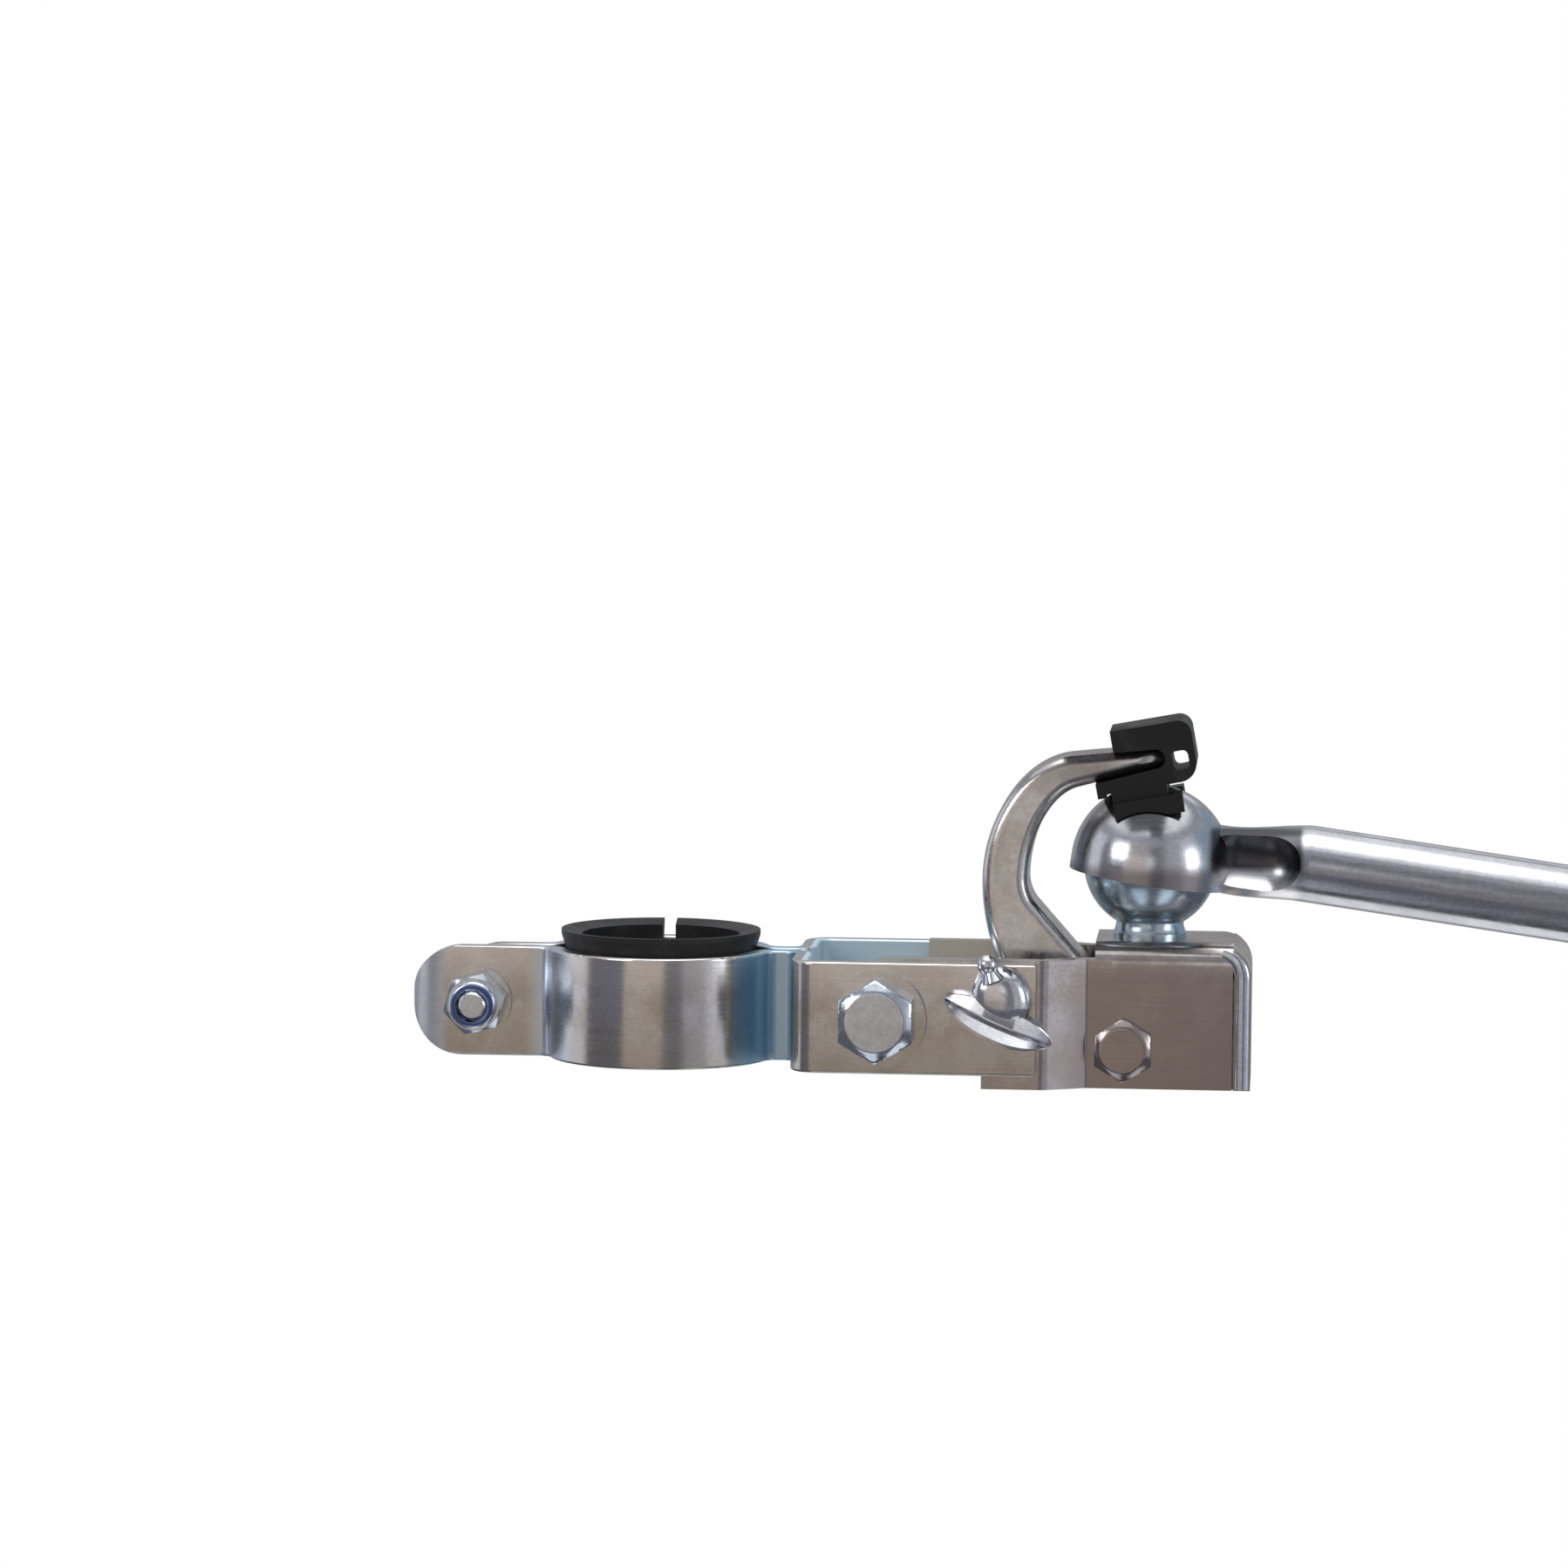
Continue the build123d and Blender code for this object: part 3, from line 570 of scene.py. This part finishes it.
sheet = 3.0
cheek_half = 13.0
bracket_low, _, bracket_high = box_mm("ball_bracket")
flange_x = bracket_high.x - sheet / 2
bead_half = 1.32
bead_rise = 0.75
bead_sunk = 0.3
bead_fade = 0.96
bead_end_width = 0.4
bead_steps = 8
bead_short = 0.2
bend_low = 7.5
bend_r = 4.5
bend_deg = 80
bead_path = [(0.0, bracket_low.z + bead_short, 0), (0.0, 0.0, 0)]
for lean in range(0, bend_deg + 1, 8):
    bead_path.append((bend_r * (cos(radians(lean)) - 1), bend_low + bend_r * sin(radians(lean)), lean))


def bead_sections(way):
    """Sections of the rounded edge on one side, fading out as it runs into the top bend."""
    sections = []
    for right, up, lean in bead_path:
        fade = 1 - bead_fade * (lean / bend_deg) ** 3
        half = bead_half * (bead_end_width + (1 - bead_end_width) * fade)
        section = []
        for k in range(bead_steps + 1):
            turn = radians(180 * k / bead_steps)
            across = right + half * cos(turn) * cos(radians(lean))
            along = up + half * cos(turn) * sin(radians(lean))
            section.append((-way * across, along, bead_rise * fade * sin(turn) - bead_sunk))
        sections.append(section if way > 0 else section[::-1])
    return sections


seam_inset = 1.65
seam_half = 0.145
seam_deep = -2.6
seam_face = -0.55
seam_top = 7.2
seam_short = 0.1
seam_x = flange_x - seam_inset
seam_ends = (seam_top, bracket_low.z + seam_short)
seam_shape = [
    (-seam_half, seam_deep), (seam_half, seam_deep),
    (seam_half, seam_face), (-seam_half, seam_face),
]
seam_sections = [[(right, up, out) for right, out in seam_shape] for up in seam_ends]

edge_verts, edge_faces = [], []
seam_verts, seam_faces = [], []
for way in (-1, 1):
    add_skin(edge_verts, edge_faces, bead_sections(way), facing(flange_x, way * cheek_half, 0.0, way))
    add_skin(seam_verts, seam_faces, seam_sections, facing(seam_x, way * cheek_half, 0.0, way))
# The beads take the brighter fastener plating, a painted highlight on top of their rounding.
flange_edges = new_piece("flange_edges", edge_verts, edge_faces, fastener_zinc, "bracket", sharp_deg=40)
# The dark seam paint is painted shade in the gap between the flange and each cheek.
seam_shade_paint = zinc(
    "seam shade paint",
    clean=(0.30, 0.28, 0.27),
    bloom=(0.20, 0.18, 0.17),
    cloud=300.0,
    dullness=0.35,
    stretch=(900.0, 900.0, 900.0),
    lines_show=0.3,
    bump=0.3,
)
flange_seam_shades = new_piece("flange_seam_shades", seam_verts, seam_faces, seam_shade_paint, "bracket", sharp_deg=40)

# Ball stud: turned steel ball with a waisted neck, polished before plating, and bluish.
# It stands on the top plate of the bracket and is held under it by a washer and a thin nut.

ball_zinc = zinc(
    "ball zinc",
    clean=(0.52, 0.64, 0.73),
    bloom=(0.47, 0.56, 0.62),
    cloud=180.0,
    dullness=0.15,
    stretch=(300.0, 300.0, 4000.0),
    lines_show=0.2,
    bump=0.12,
)
finish_node(ball_zinc, "ball_stud")
finish_node(fastener_zinc, "ball_stud_washer", "ball_stud_nut")

# Arm pivot: low steel hexagon bolt across the bracket's cheeks, with a washer, a nut and two bushes.
# The bolt has the brownish plating of the sheet. The bushes keep the arm midway between the cheeks.

pivot_bolt = threaded_bolt(
    "arm_pivot_bolt_threaded",
    "arm_pivot_bolt",
    sheet_zinc,
    way=-1,
    flats=10.0,
    head=2.2,
    radius=3.0,
    corner_deg=90,
    threaded=18.0,
    pitch=1.0,
)
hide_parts("arm_pivot_bolt")
finish_node(fastener_zinc, "arm_pivot_washer", "arm_pivot_nut", "arm_spacers")

# Hold-down arm: steel hook forged in one piece, brushed along its length and plated.
# It turns on the pivot bolt and reaches over the cup to keep it on the ball. Painted shade darkens its
# crown.

arm_crown_shade = make_shading_mask("arm crown shade", 0.0045, X=(0.0500, 0.0830), Z=(0.0415, 0.0600))
arm_zinc = zinc(
    "arm zinc",
    clean=(0.71, 0.71, 0.71),
    bloom=(0.62, 0.595, 0.57),
    cloud=110.0,
    dullness=0.10,
    stretch=(700.0, 60.0, 700.0),
    lines_show=0.4,
    bump=0.25,
    painted_shading=(dict(mask=arm_crown_shade, tint=(0.37, 0.34, 0.34), share=0.85, dulled=0.0),),
)
finish_node(arm_zinc, "hold_down_arm")

# Arm shoe: clip of black moulded plastic, pushed onto the finger of the arm.
# The pad under it sits over the top of the cup.

shoe_plastic = plastic(
    "shoe plastic",
    colour=(0.009, 0.009, 0.009),
    dusty=(0.018, 0.018, 0.018),
    grain=2000.0,
    dullness=0.34,
    shine=0.28,
    relief=0.35,
)
finish_node(shoe_plastic, "arm_shoe")
break_edges("arm_shoe", width_mm=0.35, sharp_deg=40)

# Wing screw: cast hub with a bowed finger bar and a small ball lug, on an M6 screw.
# Barrel polished and plated, so that it is the brightest piece. It runs in a nut welded inside the
# near cheek, and its point presses on the side of the arm.

wing_zinc = zinc(
    "wing zinc",
    clean=(0.76, 0.78, 0.83),
    bloom=(0.66, 0.66, 0.69),
    cloud=300.0,
    dullness=0.09,
    stretch=(900.0, 900.0, 900.0),
    lines_show=0.15,
    bump=0.12,
)
wing_joint = next(joint for joint in frame["joints"] if joint["name"] == "wing_screw_turn")
wing_x, wing_y, wing_z = (1000 * part for part in wing_joint["pos_m"])
seat_gap = 0.4
wing_place = facing(wing_x, wing_y - seat_gap, wing_z, -1)

hub_r = 5.65
hub_low = 0.9
hub_rise = 3.7
hub_fullness = 2.5
hub_oval = 0.07
hub_foot = [(0.45, 5.1), (0.2, 4.6), (0.2, 3.9), (0.0, 3.7), (0.0, 3.0)]
lug_lean = radians(21.0)


def oval(radius):
    """A radius that is a little longer towards the lug than across it."""
    return lambda angle: radius * (1 + hub_oval * cos(radians(2 * angle - 180) - 2 * lug_lean))


wing_rings = []
for lean in range(5, 91, 5):
    share = sin(radians(lean))
    rise = hub_rise * max(0.0, 1 - share**hub_fullness) ** (1 / hub_fullness)
    wing_rings.append((hub_low + rise, oval(hub_r * share)))
wing_rings += round_rings(hub_foot)

screw_r = 3.0
screw_pitch = 1.0
screw_start = -0.4
screw_end = -11.3
point_r = 1.8
screw_point = [(-11.6, 2.3), (-11.6, point_r), (-12.8, point_r), (-13.1, 1.5), (-13.1, 0.2)]
wing_rings += thread_rings(screw_r, screw_pitch, screw_start, screw_end)
wing_rings += round_rings(screw_point)
wing_verts, wing_faces = turned(wing_rings, wing_place)

bar_half = 10.3
bar_shift = 1.1
bar_tilt = radians(-23)
bar_drop = 4.5
bar_bow = 0.9
bar_thick = 3.1
bar_tip = 0.25
bar_fullness = 2.4
bar_roundness = 0.8
bar_level = 2.7
bar_tip_depth = 0.55
bar_steps = 32
bar_shape = [
    (-0.55, 0.9), (0.6, 0.9), (1.0, 1.9), (0.97, 3.4), (0.22, 5.0),
    (0.12, 5.0), (0.05, 4.2), (-0.66, 6.05), (-0.86, 6.0), (-1.0, 3.2),
]
bar_sections = []
for k in range(bar_steps + 1):
    share = -1 + 2 * k / bar_steps
    along = bar_shift + bar_half * share
    thick = bar_thick * max(0.0, 1 - abs(share) ** bar_fullness) ** bar_roundness + bar_tip
    depth = bar_tip_depth + (1 - bar_tip_depth) * max(0.0, 1 - abs(share) ** 3)
    section = []
    for across, out in bar_shape:
        up = bar_bow * share**2 - bar_drop + thick * across
        section.append((
            along * cos(bar_tilt) - up * sin(bar_tilt),
            along * sin(bar_tilt) + up * cos(bar_tilt),
            bar_level + (out - bar_level) * depth,
        ))
    bar_sections.append(section)
add_skin(wing_verts, wing_faces, bar_sections, wing_place)

lug_out = 3.2
lug_neck = [(3.6, 2.2), (4.7, 1.6)]
lug_ball_r = 1.88
lug_ball_rise = 6.65
lug_step = 15
lug_profile = list(lug_neck)
for lean in range(-45, 86, 10):
    rise = lug_ball_rise + lug_ball_r * sin(radians(lean))
    lug_profile.append((rise, lug_ball_r * cos(radians(lean))))
lug_sections = []
for rise, reach in lug_profile:
    section = []
    for angle in range(0, 360, lug_step):
        side = reach * cos(radians(angle))
        section.append((
            side * cos(lug_lean) - rise * sin(lug_lean),
            side * sin(lug_lean) + rise * cos(lug_lean),
            lug_out - reach * sin(radians(angle)),
        ))
    lug_sections.append(section)
add_skin(wing_verts, wing_faces, lug_sections, wing_place)
wing_screw = new_piece("wing_screw_cast", wing_verts, wing_faces, wing_zinc, "wing", sharp_deg=33)
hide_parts("wing_screw")
finish_node(fastener_zinc, "weld_nut")

# Drawbar end: drawn steel tube, pinched to a neck and formed into the socket cup in one piece.
# Polished and plated. Painted shade darkens the upper side of the pinch's hollow and the rim of the cup,
# and a painted highlight brightens the hollow below. The cup sits on the ball.

cup_rim_shade = make_shading_mask("cup rim shade", 0.0014, X=(0.0720, 0.1030), Z=(0.0200, 0.0268))
pinch_top_shade = make_shading_mask("pinch top shade", 0.0007, X=(0.0995, 0.1160), Z=(0.0260, 0.0337))
pinch_low_highlight = make_shading_mask("pinch low highlight", 0.0012, X=(0.1000, 0.1150), Z=(0.0190, 0.0248))
drawbar_zinc = zinc(
    "drawbar zinc",
    clean=(0.64, 0.66, 0.71),
    bloom=(0.57, 0.58, 0.62),
    cloud=120.0,
    dullness=0.13,
    stretch=(50.0, 2200.0, 2200.0),
    lines_show=0.2,
    bump=0.12,
    painted_shading=(
        dict(mask=cup_rim_shade, tint=(0.27, 0.245, 0.255), share=0.9, dulled=0.05),
        dict(mask=pinch_top_shade, tint=(0.06, 0.06, 0.07), share=0.95, dulled=0.05),
        dict(mask=pinch_low_highlight, tint=(0.96, 0.96, 0.98), share=1.0, dulled=0.06),
    ),
)
finish_node(drawbar_zinc, "drawbar")

# Floor, light and camera: pale floor well below the hitch, soft boxes left, right and above.
# Curved cards round the hitch and a small shade over the cup, seen only in mirrors, give the bare
# metal a dull brown room in front and a blue one beside.


def larger(tree, first, second):
    """The larger of two values."""
    return put(tree, "Math", {0: first, 1: second}, operation="MAXIMUM").outputs[0]


def seen_plain(tree):
    """One for rays from the camera, a mirror or glass, which see plain white, and zero for the rest."""
    path = put(tree, "LightPath").outputs
    mirrored = larger(tree, path["Is Glossy Ray"], path["Is Transmission Ray"])
    return larger(tree, path["Is Camera Ray"], mirrored)


def stage_panel(name, verts, faces, material):
    """Panel of the stage, which is no part of the hitch."""
    mesh = bpy.data.meshes.new(name)
    mesh.from_pydata(verts, [], faces)
    mesh.materials.append(material)
    panel = bpy.data.objects.new(name, mesh)
    bpy.context.scene.collection.objects.link(panel)
    return panel


def make_floor_white():
    """Pale floor that throws light back at the hitch and is seen as plain white."""
    material, tree, surface = start_material("floor white")
    surface.inputs["Base Color"].default_value = (0.92, 0.92, 0.92, 1)
    surface.inputs["Roughness"].default_value = 0.9
    bright = put(tree, "Emission", {"Color": (1, 1, 1, 1), "Strength": 1.0})
    both = put(tree, "MixShader", {0: seen_plain(tree), 1: surface.outputs[0], 2: bright.outputs[0]})
    feed(tree, tree.nodes["Material Output"].inputs["Surface"], both.outputs[0])
    return material


floor_z = -0.720
floor_half = 9
floor_ways = ((-1, -1), (1, -1), (1, 1), (-1, 1))
floor_corners = [(x * floor_half, y * floor_half, floor_z) for x, y in floor_ways]
stage_panel("floor", floor_corners, [(0, 1, 2, 3)], make_floor_white())

room_light = 0.7
world = bpy.data.worlds.new("studio")
world.use_nodes = True
bpy.context.scene.world = world
sky = world.node_tree
room = put(sky, "Background", {"Color": (1, 1, 1, 1), "Strength": room_light})
white = put(sky, "Background", {"Color": (1, 1, 1, 1), "Strength": 1.0})
blended = put(sky, "MixShader", {0: seen_plain(sky), 1: room.outputs[0], 2: white.outputs[0]})
feed(sky, sky.nodes["World Output"].inputs["Surface"], blended.outputs[0])

hitch_middle = Vector((0.05, 0.0, 0.01))


def towards(azimuth, elevation):
    """Unit vector from the hitch, by degrees round from the near side and degrees up."""
    turn = radians(azimuth)
    rise = radians(elevation)
    return Vector((sin(turn) * cos(rise), -cos(turn) * cos(rise), sin(rise)))


def soft_box(name, azimuth, elevation, width, height, power, distance=0.6):
    """Rectangular soft light that looks at the middle of the hitch."""
    lamp = bpy.data.lights.new(name, "AREA")
    lamp.shape = "RECTANGLE"
    lamp.size = width
    lamp.size_y = height
    lamp.energy = power
    holder = bpy.data.objects.new(name, lamp)
    away = towards(azimuth, elevation)
    holder.location = hitch_middle + away * distance
    holder.rotation_euler = away.to_track_quat("Z", "Y").to_euler()
    bpy.context.scene.collection.objects.link(holder)


soft_box("left box", azimuth=-44, elevation=22, width=0.24, height=0.22, power=0.55)
soft_box("right box", azimuth=66, elevation=9, width=0.17, height=0.24, power=0.40)
soft_box("top box", azimuth=-10, elevation=84, width=0.50, height=0.40, power=1.2)


def card_paint(name, colour):
    """Flat paint that shows one colour under any light."""
    material, tree, surface = start_material(name)
    tree.nodes.remove(surface)
    glow = put(tree, "Emission", {"Color": (*colour, 1), "Strength": 1.0})
    feed(tree, tree.nodes["Material Output"].inputs["Surface"], glow.outputs[0])
    return material


def show_in_mirrors_only(card):
    """Hides a card from the camera, and from light and shadow on dull surfaces."""
    card.visible_camera = False
    card.visible_diffuse = False
    card.visible_shadow = False


def mirror_card(name, colour, azimuth, elevation, distance=0.7):
    """Curved card round the hitch, from one azimuth to another and one elevation to another."""
    steps = 12
    row = steps + 1
    verts = []
    for k in range(row):
        rise = elevation[0] + (elevation[1] - elevation[0]) * k / steps
        for j in range(row):
            turn = azimuth[0] + (azimuth[1] - azimuth[0]) * j / steps
            verts.append(hitch_middle + towards(turn, rise) * distance)
    corners = [k * row + j for k in range(steps) for j in range(steps)]
    faces = [(corner, corner + 1, corner + row + 1, corner + row) for corner in corners]
    show_in_mirrors_only(stage_panel(name, verts, faces, card_paint(name, colour)))


front_span = (-36, 4.5)
wall_rise = (-17, 34)
mirror_card("front low card", (0.42, 0.36, 0.305), front_span, (-17, -7))
mirror_card("front card", (0.60, 0.54, 0.49), front_span, (-7, 18))
mirror_card("front high card", (0.40, 0.37, 0.36), front_span, (18, 34))
mirror_card("front dark card", (0.20, 0.195, 0.22), (4.5, 24), wall_rise)
mirror_card("right grey card", (0.42, 0.41, 0.44), (24, 50), wall_rise)
mirror_card("right card", (0.62, 0.62, 0.66), (50, 78), wall_rise)
mirror_card("far right card", (0.30, 0.37, 0.44), (78, 150), wall_rise)
mirror_card("back card", (0.36, 0.36, 0.37), (150, 210), (-45, 26))
mirror_card("far left card", (0.40, 0.42, 0.47), (210, 248), wall_rise)
mirror_card("left card", (0.78, 0.78, 0.83), (248, 284), wall_rise)
mirror_card("left dark card", (0.17, 0.165, 0.195), (284, 324), wall_rise)
mirror_card("upper card", (0.32, 0.33, 0.37), (0, 360), (34, 46))
mirror_card("camera card", (0.75, 0.75, 0.78), (-1, 9), (2, 15), distance=0.68)
mirror_card("lower card", (0.13, 0.13, 0.15), (-150, 150), (-62, -17))
mirror_card("bottom card", (0.08, 0.08, 0.09), (-100, 100), (-90, -62))
mirror_card("table left card", (0.80, 0.83, 0.90), (-36, -2), (-70, -40), distance=0.68)
mirror_card("table right card", (0.92, 0.94, 1.00), (28, 58), (-66, -36), distance=0.68)

shade_z = 0.062
shade_outline = [
    (0.068, 0.02), (0.068, -0.034), (0.088, -0.034),
    (0.090, -0.044), (0.104, -0.044), (0.096, 0.02),
]
shade_corners = [(x, y, shade_z) for x, y in shade_outline]
shade_dark = card_paint("shade dark", (0.07, 0.07, 0.08))
shade = stage_panel("overhead shade", shade_corners, [tuple(range(len(shade_corners)))], shade_dark)
show_in_mirrors_only(shade)

camera_azimuth = 4.75
camera_elevation = 5.0
camera_roll = radians(0.46)
camera_distance = 1.100
camera_aim = Vector((0.0222, 0.0, 0.03997))
pixels_per_mm = 6.331
image_pixels = 1798
back = towards(camera_azimuth, camera_elevation)
right = towards(camera_azimuth + 90, 0)
up = back.cross(right)
rolled_right = cos(camera_roll) * right + sin(camera_roll) * up
rolled_up = cos(camera_roll) * up - sin(camera_roll) * right
lens = bpy.data.cameras.new("camera")
lens.sensor_width = 36.0
lens.lens = lens.sensor_width * camera_distance * 1000 * pixels_per_mm / image_pixels
lens.clip_start = 0.01
camera = bpy.data.objects.new("camera", lens)
bpy.context.scene.collection.objects.link(camera)
axes = Matrix((rolled_right, rolled_up, back)).transposed().to_4x4()
camera.matrix_world = Matrix.Translation(camera_aim + back * camera_distance) @ axes
bpy.context.scene.camera = camera
bpy.context.scene.view_settings.view_transform = "Standard"
